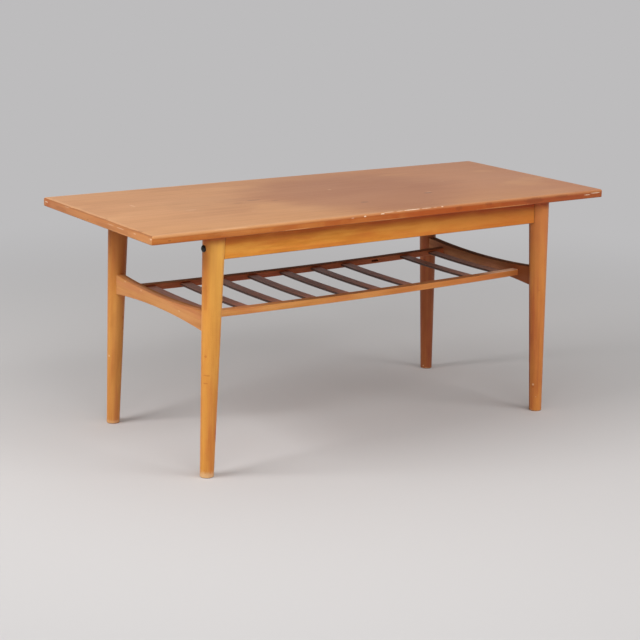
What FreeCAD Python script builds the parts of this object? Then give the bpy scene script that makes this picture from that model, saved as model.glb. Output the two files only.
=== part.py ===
# Coffee table: a lipped, veneered top on two aprons and four splayed round legs, with a
# slatted magazine shelf hung between two curved end stretchers.
# Millimetres. X runs along the table, Y from front to back and Z up. The origin is on the
# floor, under the middle of the top.
import FreeCAD, Part
import Sketcher
import math
import os

SIZES = {
    # Top
    "table_length": 1200,
    "table_width": 500,
    "table_height": 530,
    "top_thickness": 18,
    "top_corner_radius": 6,
    "top_upper_round": 4.5,
    "top_lower_round": 1,
    "lipping_width": 10,
    "veneer_thickness": 0.6,
    # Legs: a round taper whose axis leans outwards, cut level at the floor and under the top
    "leg_inset_end": 163.5,
    "leg_inset_side": 40.5,
    "leg_splay_end": 18.5,
    "leg_splay_side": 5,
    "leg_top_diameter": 46.7,
    "leg_foot_diameter": 29.3,
    "leg_foot_chamfer": 1.2,
    # Aprons
    "apron_thickness": 18,
    "apron_height": 52,
    "apron_round": 1.5,
    # Leg bolts, each with a cross-dowel barrel nut in the apron
    "bolt_drop": 27,
    "bolt_diameter": 6,
    "bolt_head_diameter": 15,
    "bolt_head_height": 5.2,
    "bolt_head_round": 3.8,
    "bolt_socket_width": 4,
    "bolt_socket_depth": 2.4,
    "bolt_end_past_nut": 3,
    "spotface_depth": 1.8,
    "nut_diameter": 10,
    "nut_length": 12,
    "nut_setback": 26,
    "nut_slot_width": 1.4,
    "nut_slot_depth": 1.2,
    # Wooden dowels
    "leg_dowel_diameter": 8,
    "leg_dowel_length": 30,
    "leg_dowel_spacing": 30,
    "rail_dowel_diameter": 6,
    "rail_dowel_length": 28,
    "dowel_chamfer": 0.8,
    # Screws that hold the top down
    "screw_diameter": 4,
    "screw_length": 35,
    "screw_head_diameter": 8,
    "screw_head_height": 2.6,
    "screw_slot_width": 1.2,
    "screw_slot_depth": 1.1,
    "screw_tip_length": 4,
    "screw_bite": 13,
    "screw_end_margin": 84.6,
    "screw_counterbore_diameter": 9.6,
    # End stretchers: hollowed above and below, tenoned into the legs
    "stretcher_height": 329.3,
    "stretcher_thickness": 20,
    "stretcher_middle_depth": 25.4,
    "stretcher_upper_hollow": 11,
    "stretcher_lower_hollow": 12.3,
    "stretcher_chamfer": 1.3,
    "stretcher_tenon_thickness": 10,
    "stretcher_tenon_height": 20,
    "stretcher_tenon_length": 17,
    # Shelf rails
    "rail_gap": 266,
    "rail_width": 19,
    "rail_depth": 14,
    "rail_end_drop": 0.8,
    "rail_bow": 4.3,
    "rail_round": 1.2,
    # Shelf slats
    "slat_end_margin": 35.3,
    "slat_width": 26,
    "slat_thickness": 5,
    "slat_sag": 2,
    "slat_round": 0.9,
    "slat_tenon_width": 20,
    "slat_tenon_length": 12,
    # Fits
    "cope_clearance": 0.3,
    "bore_clearance": 0.15,
    "mortise_clearance": 0.2,
    "end_clearance": 0.5,
    "cut_overrun": 4,
}

# Ten places for slats. The third from the right has lost its slat and shows open mortises.
SLAT_PLACES = 10
LOST_SLAT_PLACE = SLAT_PLACES - 2

doc = FreeCAD.newDocument("CoffeeTable")
sheet = doc.addObject("Spreadsheet::Sheet", "Size")
for row, (alias, number) in enumerate(SIZES.items(), start=1):
    sheet.set(f"A{row}", alias)
    sheet.set(f"B{row}", str(number))
    sheet.setAlias(f"B{row}", alias)
doc.recompute()


# Derived sizes, as expressions on the sheet
TOP_UNDERSIDE = "(Size.table_height - Size.top_thickness)"
LEG_TOP_X = "(Size.table_length / 2 - Size.leg_inset_end)"
LEG_TOP_Y = "(Size.table_width / 2 - Size.leg_inset_side)"
LEG_FOOT_X = f"({LEG_TOP_X} + Size.leg_splay_end)"
LEG_FOOT_Y = f"({LEG_TOP_Y} + Size.leg_splay_side)"
LEG_LEAN = f"atan(sqrt(Size.leg_splay_end ^ 2 + Size.leg_splay_side ^ 2) / {TOP_UNDERSIDE})"


def leg_x(height):
    return f"({LEG_FOOT_X} - Size.leg_splay_end * {height} / {TOP_UNDERSIDE})"


def leg_y(height):
    return f"({LEG_FOOT_Y} - Size.leg_splay_side * {height} / {TOP_UNDERSIDE})"


def leg_radius(height):
    swell = "(Size.leg_top_diameter - Size.leg_foot_diameter)"
    return f"((Size.leg_foot_diameter + {swell} * {height} / {TOP_UNDERSIDE}) / 2)"


APRON_UNDERSIDE = f"({TOP_UNDERSIDE} - Size.apron_height)"
BOLT_HEIGHT = f"({TOP_UNDERSIDE} - Size.bolt_drop)"
APRON_END_X = f"({leg_x(BOLT_HEIGHT)} - {leg_radius(BOLT_HEIGHT)})"
BOLT_SEAT_X = f"({leg_x(BOLT_HEIGHT)} + {leg_radius(BOLT_HEIGHT)} - Size.spotface_depth)"
NUT_X = f"({APRON_END_X} - Size.nut_setback)"
BOLT_TIP_X = f"({NUT_X} - Size.nut_diameter / 2 - Size.bolt_end_past_nut)"
SCREW_SEAT = f"({TOP_UNDERSIDE} + Size.screw_bite - Size.screw_length)"
STRETCHER_X = leg_x("Size.stretcher_height")
STRETCHER_END_Y = leg_y("Size.stretcher_height")
STRETCHER_SEAT_Y = f"({STRETCHER_END_Y} - {leg_radius('Size.stretcher_height')})"
STRETCHER_TENON_Y = f"({STRETCHER_SEAT_Y} + Size.stretcher_tenon_length)"
RAIL_Y = "(Size.rail_gap / 2 + Size.rail_width / 2)"
RAIL_END_X = f"({STRETCHER_X} - Size.stretcher_thickness / 2)"
RAIL_END_HEIGHT = "(Size.stretcher_height - Size.rail_end_drop)"
SLAT_PITCH = f"(2 * ({RAIL_END_X} - Size.slat_end_margin) / {SLAT_PLACES - 1})"
SCREW_SPREAD = f"({APRON_END_X} - Size.screw_end_margin)"


def slat_x(place):
    middle_place = (SLAT_PLACES + 1) / 2
    return f"({place - middle_place} * {SLAT_PITCH})"


def rail_dip(across):
    """How far the rail's centre line lies below its ends, at one place along it."""
    return f"(Size.rail_bow * (1 - ({across} / {RAIL_END_X}) ^ 2))"


def value(expression):
    return float(sheet.evalExpression(expression))


# Sketch and feature helpers

def new_body(label):
    body = doc.addObject("PartDesign::Body", label)
    body.Label = label
    return body


def origin_plane(body, role):
    return [feature for feature in body.Origin.OriginFeatures if feature.Role == role][0]


def new_sketch(body, name, role, offset="0"):
    """Sketch on one of the body's origin planes, moved along that plane's normal."""
    sketch = body.newObject("Sketcher::SketchObject", name)
    sketch.AttachmentSupport = (origin_plane(body, role), [""])
    sketch.MapMode = "FlatFace"
    sketch.setExpression("AttachmentOffset.Base.z", offset)
    return sketch


def dimension(sketch, constraint, expression):
    index = sketch.addConstraint(constraint)
    sketch.setExpression(f"Constraints[{index}]", expression)


def pin(sketch, geometry, end, across, up):
    """Ties one point of a sketch to its two distances from the sketch's origin."""
    for kind, length in (("DistanceX", across), ("DistanceY", up)):
        dimension(sketch, Sketcher.Constraint(kind, -1, 1, geometry, end, value(length)), length)


def level_arc(start, finish, bow):
    """Arc over a level chord, its middle standing off the chord by bow, up or down."""
    half_chord = abs(finish.x - start.x) / 2
    radius = (half_chord ** 2 + bow ** 2) / (2 * abs(bow))
    side = math.copysign(1, bow)
    centre = FreeCAD.Vector((start.x + finish.x) / 2, start.y + bow - side * radius, 0)
    half_turn = math.asin(half_chord / radius)
    middle = side * math.pi / 2
    circle = Part.Circle(centre, FreeCAD.Vector(0, 0, 1), radius)
    return Part.ArcOfCircle(circle, middle - half_turn, middle + half_turn)


def outline(sketch, corners, bows=None):
    """Closed outline. The edge after corner k is straight, or bows[k] off a level chord."""
    bows = bows or {}
    points = [FreeCAD.Vector(value(across), value(up), 0) for across, up in corners]
    edges = []
    for number, start in enumerate(points):
        finish = points[(number + 1) % len(points)]
        if number in bows:
            bow = value(bows[number])
            geometry = sketch.addGeometry(level_arc(start, finish, bow))
            chord = f"({corners[number][0]} - {corners[(number + 1) % len(points)][0]})"
            radius = f"({chord} ^ 2 / 4 + {bows[number]} ^ 2) / (2 * abs({bows[number]}))"
            dimension(sketch, Sketcher.Constraint("Radius", geometry, value(radius)), radius)
            forward = (start.x > finish.x) == (bow > 0)
            edges.append((geometry, 1, 2) if forward else (geometry, 2, 1))
        else:
            geometry = sketch.addGeometry(Part.LineSegment(start, finish))
            edges.append((geometry, 1, 2))
    for number, (geometry, first, last) in enumerate(edges):
        following, following_first, _ = edges[(number + 1) % len(edges)]
        join = Sketcher.Constraint("Coincident", geometry, last, following, following_first)
        sketch.addConstraint(join)
        pin(sketch, geometry, first, *corners[number])


def rectangle(sketch, across, up, width, height):
    left = f"({across} - {width} / 2)"
    right = f"({across} + {width} / 2)"
    low = f"({up} - {height} / 2)"
    high = f"({up} + {height} / 2)"
    outline(sketch, [(left, low), (right, low), (right, high), (left, high)])


def disc(sketch, across, up, diameter):
    centre = FreeCAD.Vector(value(across), value(up), 0)
    circle = Part.Circle(centre, FreeCAD.Vector(0, 0, 1), value(diameter) / 2)
    geometry = sketch.addGeometry(circle)
    pin(sketch, geometry, 3, across, up)
    dimension(sketch, Sketcher.Constraint("Diameter", geometry, value(diameter)), diameter)


def pad(body, name, sketch, length, both_ways=False):
    feature = body.newObject("PartDesign::Pad", name)
    feature.Profile = sketch
    feature.SideType = "Symmetric" if both_ways else "One side"
    feature.setExpression("Length", length)
    doc.recompute()
    return feature


def pocket(body, name, sketch, length, along_normal=False, both_ways=False):
    """Cuts against the sketch plane's normal, or along it, and makes sure that it cut."""
    before = body.Shape.Volume
    feature = body.newObject("PartDesign::Pocket", name)
    feature.Profile = sketch
    feature.SideType = "Symmetric" if both_ways else "One side"
    feature.Reversed = along_normal
    feature.setExpression("Length", length)
    doc.recompute()
    assert body.Shape.Volume < before, f"{body.Label}: {name} cut nothing"
    return feature


def soften(body, name, radius, choose, kind="PartDesign::Fillet"):
    """Rounds or chamfers the edges of the body so far that choose picks by their box."""
    base = body.Tip
    edges = [f"Edge{number}" for number, edge in enumerate(base.Shape.Edges, start=1)
             if choose(edge.BoundBox)]
    feature = body.newObject(kind, name)
    feature.Base = (base, edges)
    feature.setExpression("Radius" if kind == "PartDesign::Fillet" else "Size", radius)
    doc.recompute()
    return feature


def near(first, second):
    """Equal, for picking edges by their place."""
    tolerance = value("Size.bore_clearance") / 10
    return abs(first - second) < tolerance


def put(piece, across="0", along="0", up="0", turned=False):
    """Sets a piece at its place, turned half round about Z for the front or left copy."""
    for axis, length in (("x", across), ("y", along), ("z", up)):
        piece.setExpression(f"Placement.Base.{axis}", length)
    if turned:
        half_turn = FreeCAD.Rotation(FreeCAD.Vector(0, 0, 1), 180)
        piece.Placement = FreeCAD.Placement(piece.Placement.Base, half_turn)


def together(label, pieces):
    group = doc.addObject("Part::Compound", label)
    group.Label = label
    group.Links = pieces
    return group


def mirrored(piece, name, normal):
    mirror = doc.addObject("Part::Mirroring", name)
    mirror.Source = piece
    mirror.Normal = normal
    return mirror


def four_corners(label, piece):
    """The same small piece at the four corners of the table, as one group."""
    across = mirrored(piece, f"{label}_across", FreeCAD.Vector(1, 0, 0))
    front = mirrored(piece, f"{label}_front", FreeCAD.Vector(0, 1, 0))
    opposite = mirrored(across, f"{label}_opposite", FreeCAD.Vector(0, 1, 0))
    return together(label, [piece, across, front, opposite])


# Top: a veneered core board between four lippings, mitred at the corners. The lippings are cut
# from one rounded blank, so that their shapes run on from one to the next.

SCREW_PLACES = [(side, share) for side in ("-", "+") for share in ("-1", "0", "1")]


def screw_spots(sketch, diameter):
    for side, share in SCREW_PLACES:
        disc(sketch, f"({share} * {SCREW_SPREAD})", f"({side}{LEG_TOP_Y})", diameter)


def top_blank():
    body = new_body("top_blank")
    sketch = new_sketch(body, "blank_plan", "XY_Plane")
    rectangle(sketch, "0", "0", "Size.table_length", "Size.table_width")
    pad(body, "blank_slab", sketch, "Size.top_thickness")
    thickness = value("Size.top_thickness")
    soften(body, "blank_corners", "Size.top_corner_radius", lambda box: near(box.ZLength, thickness))
    soften(body, "blank_upper_round", "Size.top_upper_round", lambda box: near(box.ZMin, thickness))
    soften(body, "blank_lower_round", "Size.top_lower_round", lambda box: near(box.ZMax, 0))
    put(body, up=TOP_UNDERSIDE)
    return body


def lipping(label, blank, length, width, quarter_turns):
    """One lipping: the edge of the blank that lies at the front after some quarter turns."""
    body = new_body(f"{label}_prism")
    sketch = new_sketch(body, "prism_plan", "XY_Plane", "-Size.cut_overrun")
    outer = f"({width} / 2 + Size.cut_overrun)"
    inner = f"({width} / 2 - Size.lipping_width)"
    long = f"({length} / 2 + Size.cut_overrun)"
    short = f"({length} / 2 - Size.lipping_width)"
    outline(sketch, [(f"-{long}", f"-{outer}"), (long, f"-{outer}"),
                     (short, f"-{inner}"), (f"-{short}", f"-{inner}")])
    pad(body, "prism", sketch, "Size.top_thickness + 2 * Size.cut_overrun")
    put(body, up=TOP_UNDERSIDE)
    turned = FreeCAD.Rotation(FreeCAD.Vector(0, 0, 1), 90 * quarter_turns)
    body.Placement = FreeCAD.Placement(body.Placement.Base, turned)
    piece = doc.addObject("Part::Common", label)
    piece.Label = label
    piece.Base = blank
    piece.Tool = body
    return piece


def board(label, underside, thickness, pilot_depth=None):
    """A sheet of the top between the lippings, with holes for the six screws if it has any."""
    body = new_body(label)
    sketch = new_sketch(body, "board_plan", "XY_Plane")
    rectangle(sketch, "0", "0", "(Size.table_length - 2 * Size.lipping_width)",
              "(Size.table_width - 2 * Size.lipping_width)")
    pad(body, "board_slab", sketch, thickness)
    if pilot_depth:
        holes = new_sketch(body, "screw_pilots", "XY_Plane")
        screw_spots(holes, "(Size.screw_diameter + 2 * Size.bore_clearance)")
        pocket(body, "screw_holes", holes, pilot_depth, along_normal=True)
    put(body, up=underside)
    return body


def top_pieces():
    blank = top_blank()
    ends = ("Size.table_width", "Size.table_length")
    sides = ("Size.table_length", "Size.table_width")
    core_thickness = "(Size.top_thickness - 2 * Size.veneer_thickness)"
    pilot_depth = "(Size.screw_bite - Size.veneer_thickness + Size.end_clearance)"
    return [
        board("top_core_board", f"{TOP_UNDERSIDE} + Size.veneer_thickness", core_thickness, pilot_depth),
        board("top_face_veneer", "Size.table_height - Size.veneer_thickness", "Size.veneer_thickness"),
        board("top_back_veneer", TOP_UNDERSIDE, "Size.veneer_thickness", "Size.veneer_thickness"),
        lipping("front_lipping", blank, *sides, quarter_turns=0),
        lipping("right_lipping", blank, *ends, quarter_turns=1),
        lipping("back_lipping", blank, *sides, quarter_turns=2),
        lipping("left_lipping", blank, *ends, quarter_turns=3),
    ]


# Legs: turned round, tapering to the foot, and leaning outwards along the table and across it.
# The same leaning cone, larger by the cope clearance, copes what meets a leg.

def leg_cone(body, kind, name, base_x, base_y, base_z, side_x, side_y, grow="0"):
    """One leg's cone, past the floor and the top, in a body whose origin is at the base."""
    low = "(-Size.cut_overrun)"
    high = f"({TOP_UNDERSIDE} + Size.cut_overrun)"
    cone = body.newObject(kind, name)
    cone.AttachmentSupport = (origin_plane(body, "XY_Plane"), [""])
    cone.MapMode = "FlatFace"
    cone.setExpression("Radius1", f"{leg_radius(low)} + {grow}")
    cone.setExpression("Radius2", f"{leg_radius(high)} + {grow}")
    cone.setExpression("Height", f"({high} - {low}) / cos({LEG_LEAN})")
    cone.setExpression("AttachmentOffset.Base.x", f"{side_x}{leg_x(low)} - {base_x}")
    cone.setExpression("AttachmentOffset.Base.y", f"{side_y}{leg_y(low)} - {base_y}")
    cone.setExpression("AttachmentOffset.Base.z", f"{low} - {base_z}")
    cone.setExpression("AttachmentOffset.Rotation.Axis.x", f"{side_y}Size.leg_splay_side")
    cone.setExpression("AttachmentOffset.Rotation.Axis.y", f"-({side_x}Size.leg_splay_end)")
    cone.setExpression("AttachmentOffset.Rotation.Axis.z", "0")
    cone.setExpression("AttachmentOffset.Rotation.Angle", LEG_LEAN)
    doc.recompute()
    return cone


def leg(label, side_x, side_y):
    outward = side_x == "+"
    behind = side_y == "+"
    foot_x = f"({side_x}{LEG_FOOT_X})"
    foot_y = f"({side_y}{LEG_FOOT_Y})"
    body = new_body(label)
    leg_cone(body, "PartDesign::AdditiveCone", "cone", foot_x, foot_y, "0", side_x, side_y)
    for name, height, above in (("floor_cut", "0", False), ("top_cut", TOP_UNDERSIDE, True)):
        level = new_sketch(body, f"{name}_outline", "XY_Plane", height)
        disc(level, "0", "0", "4 * Size.leg_top_diameter")
        pocket(body, name, level, "2 * Size.cut_overrun", along_normal=above)
    soften(body, "foot_chamfer", "Size.leg_foot_chamfer", lambda box: near(box.ZMax, 0),
           kind="PartDesign::Chamfer")

    # Bolt hole right through, with a flat seat for the bolt's head on the outer side
    bolt_y = f"({side_y}{LEG_TOP_Y} - {foot_y})"
    bore = new_sketch(body, "bolt_bore", "YZ_Plane")
    disc(bore, bolt_y, BOLT_HEIGHT, "(Size.bolt_diameter + 2 * Size.bore_clearance)")
    pocket(body, "bolt_hole", bore, "2 * Size.leg_top_diameter", both_ways=True)
    seat = new_sketch(body, "head_seat", "YZ_Plane", f"{side_x}{BOLT_SEAT_X} - {foot_x}")
    disc(seat, bolt_y, BOLT_HEIGHT, "(Size.bolt_head_diameter + 2 * Size.bore_clearance)")
    pocket(body, "spotface", seat, "Size.leg_top_diameter", along_normal=outward)

    # Two blind holes for the dowels, from the side that meets the apron
    floor = f"({APRON_END_X} + Size.leg_dowel_length / 2 + Size.end_clearance)"
    dowels = new_sketch(body, "dowel_bores", "YZ_Plane", f"{side_x}{floor} - {foot_x}")
    for step in ("-", "+"):
        height = f"({BOLT_HEIGHT} {step} Size.leg_dowel_spacing / 2)"
        disc(dowels, bolt_y, height, "(Size.leg_dowel_diameter + 2 * Size.bore_clearance)")
    pocket(body, "dowel_holes", dowels, "Size.leg_top_diameter", along_normal=not outward)

    # Mortise for the end stretcher, from the side that faces the other leg of the same end
    depth = f"({STRETCHER_TENON_Y} + Size.end_clearance)"
    mortise = new_sketch(body, "mortise_outline", "XZ_Plane", f"{foot_y} - ({side_y}{depth})")
    rectangle(mortise, f"({side_x}{STRETCHER_X} - {foot_x})", "Size.stretcher_height",
              "(Size.stretcher_tenon_thickness + 2 * Size.mortise_clearance)",
              "(Size.stretcher_tenon_height + 2 * Size.mortise_clearance)")
    pocket(body, "mortise", mortise, "Size.leg_top_diameter", along_normal=behind)
    put(body, foot_x, foot_y)
    return body


# Aprons: one board at the front and one at the back, with coped ends. The inner face shows the
# barrel nuts, and the underside has the counterbores of the screws that hold the top.

def apron(label, turned):
    body = new_body(label)
    plan = new_sketch(body, "face_outline", "XZ_Plane")
    rectangle(plan, "0", "(Size.apron_height / 2)", f"(2 * {LEG_TOP_X})", "Size.apron_height")
    pad(body, "board", plan, "Size.apron_thickness", both_ways=True)
    length = value(LEG_TOP_X)
    soften(body, "lower_rounds", "Size.apron_round", lambda box: near(box.ZMax, 0) and box.XLength > length)
    bolt_line = "(Size.apron_height - Size.bolt_drop)"
    for side in ("-", "+"):
        end = "left" if side == "-" else "right"
        leg_cone(body, "PartDesign::SubtractiveCone", f"{end}_cope", "0", f"(-{LEG_TOP_Y})",
                 APRON_UNDERSIDE, side, "-", grow="Size.cope_clearance")
        outward = side == "+"
        bore = new_sketch(body, f"{end}_bolt_bore", "YZ_Plane", f"{side}({BOLT_TIP_X} - Size.end_clearance)")
        disc(bore, "0", bolt_line, "(Size.bolt_diameter + 2 * Size.bore_clearance)")
        pocket(body, f"{end}_bolt_hole", bore, "Size.table_length", along_normal=outward)
        floor = f"({APRON_END_X} - Size.leg_dowel_length / 2 - Size.end_clearance)"
        dowels = new_sketch(body, f"{end}_dowel_bores", "YZ_Plane", f"{side}{floor}")
        for step in ("-", "+"):
            height = f"({bolt_line} {step} Size.leg_dowel_spacing / 2)"
            disc(dowels, "0", height, "(Size.leg_dowel_diameter + 2 * Size.bore_clearance)")
        pocket(body, f"{end}_dowel_holes", dowels, "Size.table_length", along_normal=outward)
    nuts = new_sketch(body, "nut_bores", "XZ_Plane", "Size.nut_length / 2 + Size.end_clearance")
    for side in ("-", "+"):
        disc(nuts, f"({side}{NUT_X})", bolt_line, "(Size.nut_diameter + 2 * Size.bore_clearance)")
    pocket(body, "nut_holes", nuts, "Size.apron_thickness")
    screw_line = new_sketch(body, "screw_bores", "XY_Plane")
    counterbores = new_sketch(body, "counterbore_floor", "XY_Plane", f"{SCREW_SEAT} - {APRON_UNDERSIDE}")
    for share in ("-1", "0", "1"):
        across = f"({share} * {SCREW_SPREAD})"
        disc(screw_line, across, "0", "(Size.screw_diameter + 2 * Size.bore_clearance)")
        disc(counterbores, across, "0", "Size.screw_counterbore_diameter")
    pocket(body, "screw_holes", screw_line, "Size.apron_height", along_normal=True)
    pocket(body, "counterbores", counterbores, "Size.apron_height")
    put(body, "0", f"{'' if turned else '-'}{LEG_TOP_Y}", APRON_UNDERSIDE, turned=turned)
    return body


# End stretchers: sawn to a hollow curve above and below, coped and tenoned into the legs, with a
# dowel hole in the inner face for each shelf rail.

def stretcher(label, turned):
    body = new_body(label)
    side = new_sketch(body, "side_outline", "YZ_Plane")
    low = "(-Size.stretcher_middle_depth / 2 - Size.stretcher_lower_hollow)"
    high = "(Size.stretcher_middle_depth / 2 + Size.stretcher_upper_hollow)"
    corners = [(f"-{STRETCHER_END_Y}", low), (STRETCHER_END_Y, low), (STRETCHER_END_Y, high),
               (f"-{STRETCHER_END_Y}", high)]
    outline(side, corners, {0: "Size.stretcher_lower_hollow", 2: "-Size.stretcher_upper_hollow"})
    pad(body, "board", side, "Size.stretcher_thickness", both_ways=True)
    length = value(STRETCHER_END_Y)
    soften(body, "long_chamfers", "Size.stretcher_chamfer", lambda box: box.YLength > length,
           kind="PartDesign::Chamfer")
    for side_y in ("-", "+"):
        end = "front" if side_y == "-" else "back"
        leg_cone(body, "PartDesign::SubtractiveCone", f"{end}_cope", STRETCHER_X, "0",
                 "Size.stretcher_height", "+", side_y, grow="Size.cope_clearance")
    section = new_sketch(body, "tenon_section", "XZ_Plane")
    rectangle(section, "0", "0", "Size.stretcher_tenon_thickness", "Size.stretcher_tenon_height")
    pad(body, "tenons", section, f"2 * {STRETCHER_TENON_Y}", both_ways=True)
    floor = "(Size.rail_dowel_length / 2 + Size.end_clearance - Size.stretcher_thickness / 2)"
    bores = new_sketch(body, "rail_dowel_bores", "YZ_Plane", floor)
    for side_y in ("-", "+"):
        disc(bores, f"({side_y}{RAIL_Y})", "(-Size.rail_end_drop)",
             "(Size.rail_dowel_diameter + 2 * Size.bore_clearance)")
    pocket(body, "rail_dowel_holes", bores, "Size.stretcher_thickness")
    put(body, f"{'-' if turned else ''}{STRETCHER_X}", "0", "Size.stretcher_height", turned=turned)
    return body


# Shelf rails: bowed slightly down between the stretchers, with a mortise for every slat place.

def rail(label, turned):
    body = new_body(label)
    side = new_sketch(body, "side_outline", "XZ_Plane")
    half_depth = "Size.rail_depth / 2"
    corners = [(f"-{RAIL_END_X}", f"-{half_depth}"), (RAIL_END_X, f"-{half_depth}"),
               (RAIL_END_X, half_depth), (f"-{RAIL_END_X}", half_depth)]
    outline(side, corners, {0: "-Size.rail_bow", 2: "-Size.rail_bow"})
    pad(body, "bar", side, "Size.rail_width", both_ways=True)
    length = value(RAIL_END_X)
    soften(body, "long_rounds", "Size.rail_round", lambda box: box.XLength > length)
    floor = "(Size.rail_width / 2 - Size.slat_tenon_length - Size.end_clearance)"
    mortises = new_sketch(body, "slat_mortises", "XZ_Plane", floor)
    for place in range(1, SLAT_PLACES + 1):
        rectangle(mortises, slat_x(place), f"(-{rail_dip(slat_x(place))})",
                  "(Size.slat_tenon_width + 2 * Size.mortise_clearance)",
                  "(Size.slat_thickness + 2 * Size.mortise_clearance)")
    pocket(body, "mortises", mortises, "Size.rail_width", along_normal=True)
    for end_x in ("-", "+"):
        end = "left" if end_x == "-" else "right"
        floor = f"{end_x}({RAIL_END_X} - Size.rail_dowel_length / 2 - Size.end_clearance)"
        bore = new_sketch(body, f"{end}_dowel_bore", "YZ_Plane", floor)
        disc(bore, "0", "0", "(Size.rail_dowel_diameter + 2 * Size.bore_clearance)")
        pocket(body, f"{end}_dowel_hole", bore, "Size.rail_dowel_length", along_normal=end_x == "+")
    put(body, "0", f"{'-' if turned else ''}{RAIL_Y}", RAIL_END_HEIGHT, turned=turned)
    return body


# Slats: thin laths that sag a little between the rails, shouldered down to a tenon at each end.

def slat(place):
    body = new_body(f"shelf_slat_{place}")
    side = new_sketch(body, "side_outline", "YZ_Plane")
    half = "Size.slat_thickness / 2"
    reach = "Size.rail_gap / 2"
    corners = [(f"-{reach}", f"-{half}"), (reach, f"-{half}"), (reach, half), (f"-{reach}", half)]
    outline(side, corners, {0: "-Size.slat_sag", 2: "-Size.slat_sag"})
    pad(body, "lath", side, "Size.slat_width", both_ways=True)
    length = value(reach)
    soften(body, "long_rounds", "Size.slat_round", lambda box: box.YLength > length)
    ends = new_sketch(body, "tenon_outlines", "YZ_Plane")
    for side_y in ("-", "+"):
        rectangle(ends, f"({side_y}({reach} + Size.slat_tenon_length / 2))", "0",
                  "Size.slat_tenon_length", "Size.slat_thickness")
    pad(body, "tenons", ends, "Size.slat_tenon_width", both_ways=True)
    put(body, slat_x(place), "0", f"{RAIL_END_HEIGHT} - {rail_dip(slat_x(place))}")
    return body


# Leg bolts and their barrel nuts

def turned_piece(body, name, role, corners, axis):
    """Solid of revolution about one axis of the sketch."""
    sketch = new_sketch(body, f"{name}_profile", role)
    outline(sketch, corners)
    feature = body.newObject("PartDesign::Revolution", name)
    feature.Profile = sketch
    feature.ReferenceAxis = (sketch, [axis])
    feature.Angle = 360
    doc.recompute()
    return feature


def leg_bolts():
    body = new_body("leg_bolt")
    shank = f"({BOLT_SEAT_X} - {BOLT_TIP_X})"
    corners = [(f"-{shank}", "0"), ("Size.bolt_head_height", "0"),
               ("Size.bolt_head_height", "Size.bolt_head_diameter / 2"),
               ("0", "Size.bolt_head_diameter / 2"), ("0", "Size.bolt_diameter / 2"),
               (f"-{shank}", "Size.bolt_diameter / 2")]
    turned_piece(body, "bolt", "XY_Plane", corners, "H_Axis")
    face = value("Size.bolt_head_height")
    soften(body, "dome", "Size.bolt_head_round", lambda box: near(box.XMin, face))
    socket = new_sketch(body, "socket_outline", "YZ_Plane", "Size.bolt_head_height")
    outline(socket, [(f"(Size.bolt_socket_width / sqrt(3) * cos({60 * turn} deg))",
                      f"(Size.bolt_socket_width / sqrt(3) * sin({60 * turn} deg))") for turn in range(6)])
    pocket(body, "socket", socket, "Size.bolt_socket_depth")
    put(body, BOLT_SEAT_X, LEG_TOP_Y, BOLT_HEIGHT)
    return four_corners("leg_bolts", body)


def barrel_nuts():
    body = new_body("barrel_nut")
    face = new_sketch(body, "end_outline", "XZ_Plane")
    disc(face, "0", "0", "Size.nut_diameter")
    pad(body, "barrel", face, "Size.nut_length", both_ways=True)
    thread = new_sketch(body, "thread_bore", "YZ_Plane")
    disc(thread, "0", "0", "(Size.bolt_diameter + 2 * Size.bore_clearance)")
    pocket(body, "thread_hole", thread, "2 * Size.nut_diameter", both_ways=True)
    slot = new_sketch(body, "slot_outline", "XZ_Plane", "Size.nut_length / 2 - Size.nut_slot_depth")
    rectangle(slot, "0", "0", "(2 * Size.nut_diameter)", "Size.nut_slot_width")
    pocket(body, "driver_slot", slot, "Size.nut_length", along_normal=True)
    put(body, NUT_X, LEG_TOP_Y, BOLT_HEIGHT)
    return four_corners("barrel_nuts", body)


# Dowels: round pegs with chamfered ends

def dowel(name, diameter, length):
    body = new_body(name)
    face = new_sketch(body, "end_outline", "YZ_Plane")
    disc(face, "0", "0", diameter)
    pad(body, "peg", face, length, both_ways=True)
    tip = value(length) / 2
    soften(body, "end_chamfers", "Size.dowel_chamfer",
           lambda box: near(box.XMin, tip) or near(box.XMax, -tip), kind="PartDesign::Chamfer")
    return body


def leg_dowels():
    pegs = []
    for level, step in (("lower", "-"), ("upper", "+")):
        peg = dowel(f"{level}_leg_dowel", "Size.leg_dowel_diameter", "Size.leg_dowel_length")
        put(peg, APRON_END_X, LEG_TOP_Y, f"{BOLT_HEIGHT} {step} Size.leg_dowel_spacing / 2")
        pegs.append(peg)
    return four_corners("leg_dowels", together("leg_dowel_pair", pegs))


def rail_dowels():
    peg = dowel("rail_dowel", "Size.rail_dowel_diameter", "Size.rail_dowel_length")
    put(peg, RAIL_END_X, RAIL_Y, RAIL_END_HEIGHT)
    return four_corners("rail_dowels", peg)


# Top screws: slotted pan heads at the floor of the counterbores, driven up into the core board

def top_screws():
    screws = []
    for number, (side, share) in enumerate(SCREW_PLACES, start=1):
        body = new_body(f"top_screw_{number}")
        shoulder = "(Size.screw_length - Size.screw_tip_length)"
        head_radius = "Size.screw_head_diameter / 2"
        shank_radius = "Size.screw_diameter / 2"
        corners = [("0", "-Size.screw_head_height"), (head_radius, "-Size.screw_head_height"),
                   (head_radius, "0"), (shank_radius, "0"), (shank_radius, shoulder),
                   ("0", "Size.screw_length")]
        turned_piece(body, "screw", "XZ_Plane", corners, "V_Axis")
        slot = new_sketch(body, "slot_outline", "XY_Plane", "Size.screw_slot_depth - Size.screw_head_height")
        rectangle(slot, "0", "0", "(2 * Size.screw_head_diameter)", "Size.screw_slot_width")
        pocket(body, "driver_slot", slot, "Size.screw_head_height")
        put(body, f"{share} * {SCREW_SPREAD}", f"{side}{LEG_TOP_Y}", SCREW_SEAT)
        screws.append(body)
    return together("top_screws", screws)


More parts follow.
